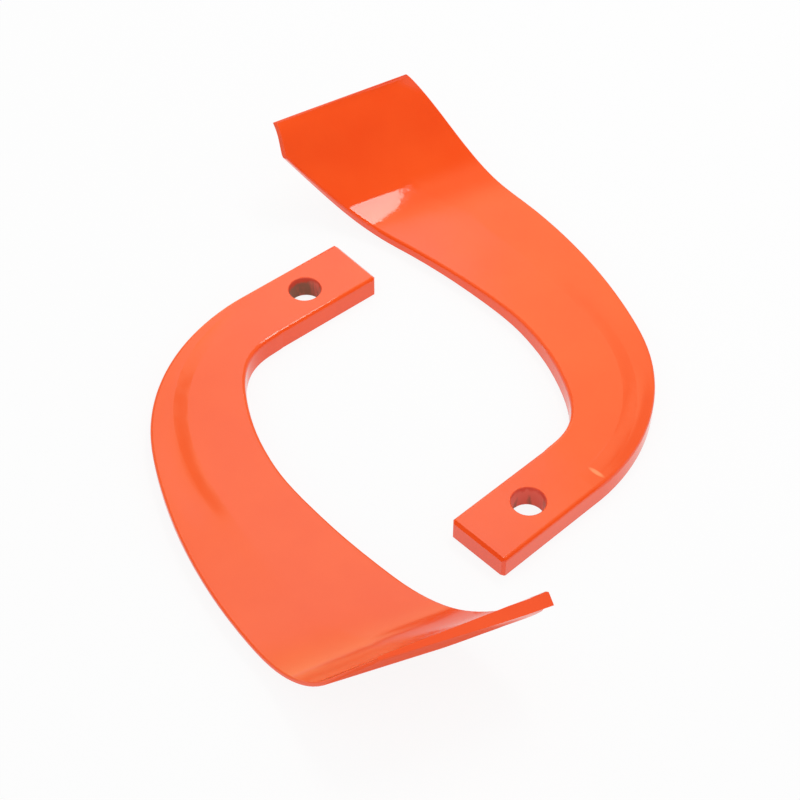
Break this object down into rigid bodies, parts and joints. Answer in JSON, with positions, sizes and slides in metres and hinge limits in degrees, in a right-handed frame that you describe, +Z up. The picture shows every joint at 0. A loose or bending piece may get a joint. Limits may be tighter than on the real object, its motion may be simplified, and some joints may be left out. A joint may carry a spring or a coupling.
{
  "type": "pair of rotavator blades",
  "caption": "Pair of like forged rotavator blades lying flat: a drilled straight shank, a hooked plate with a bevelled cutting edge, and an end bent up into a scoop.",
  "frame": {"origin": "on the floor, under the middle of the pair's box", "axes": "+X to the right and +Y away as the pair is pictured, +Z up from the floor and along both bolt holes"},
  "size_m": [0.1854, 0.2884, 0.0449],
  "materials": {
    "orange_enamel": "gloss enamel on forged spring steel"
  },
  "bodies": {
    "root": {"blade_one": "orange_enamel", "blade_two": "orange_enamel"}
  },
  "joints": []
}
